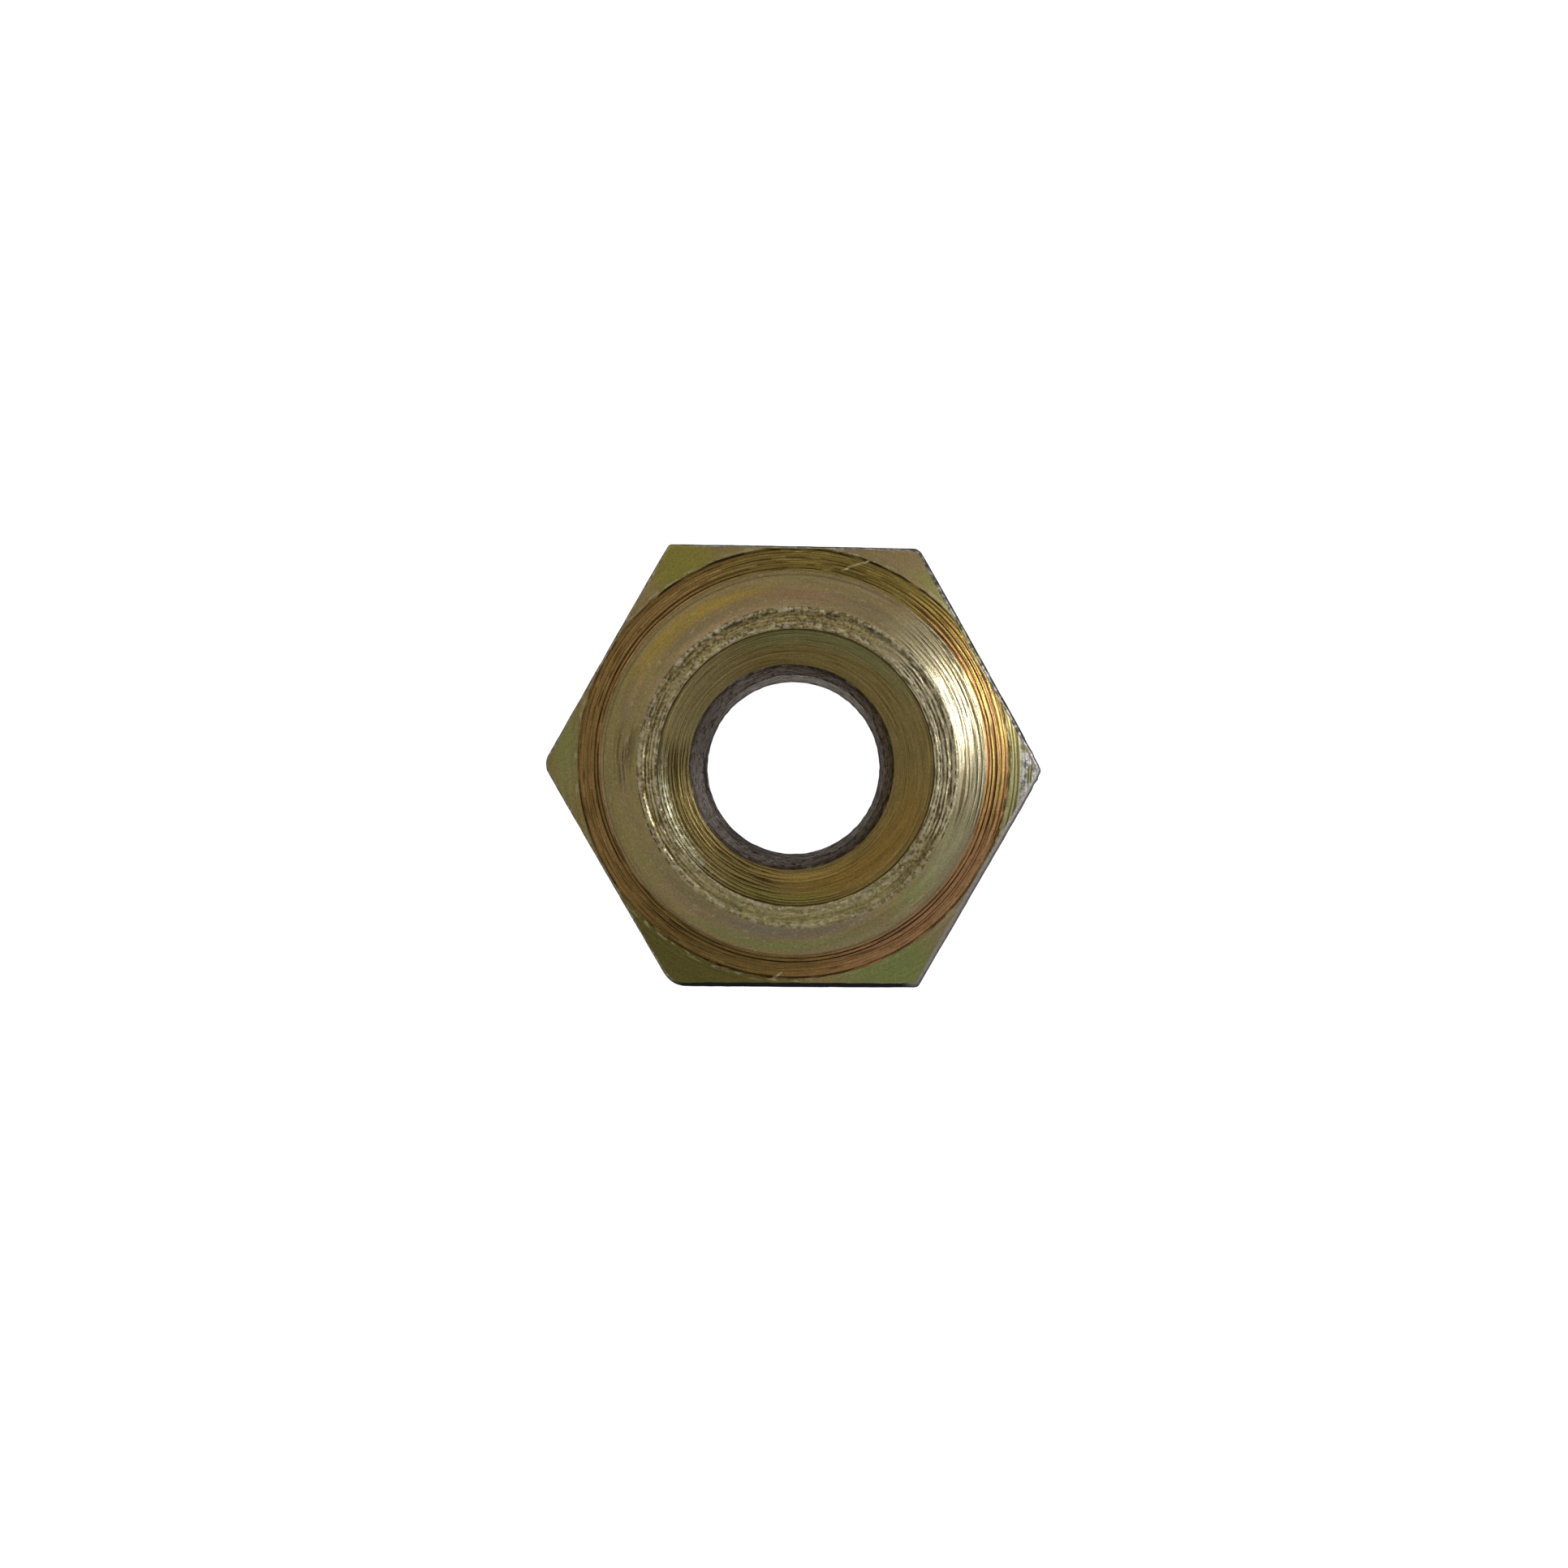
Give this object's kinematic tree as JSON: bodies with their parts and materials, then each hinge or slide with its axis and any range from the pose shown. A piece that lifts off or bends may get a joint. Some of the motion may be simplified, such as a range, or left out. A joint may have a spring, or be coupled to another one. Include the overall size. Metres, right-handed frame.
{
  "type": "locking hex nut",
  "caption": "Steel prevailing-torque hex nut with a round domed collar whose rolled-in rim traps a dished spring locking ring above the thread.",
  "frame": {"origin": "centre of the bore in the plane of the bearing face", "axes": "+Z along the bore towards the collar; +X through one corner of the hexagon; +Y square to one of its flats"},
  "size_m": [0.0196, 0.017, 0.01],
  "materials": {
    "body_plating": "zinc plate with iridescent yellow chromate, turned and worn",
    "ring_plating": "zinc plate with olive-gold chromate, finely turned, dull and dark at the gripping edge"
  },
  "bodies": {
    "root": {"nut_body": "body_plating", "locking_ring": "ring_plating"}
  },
  "joints": []
}
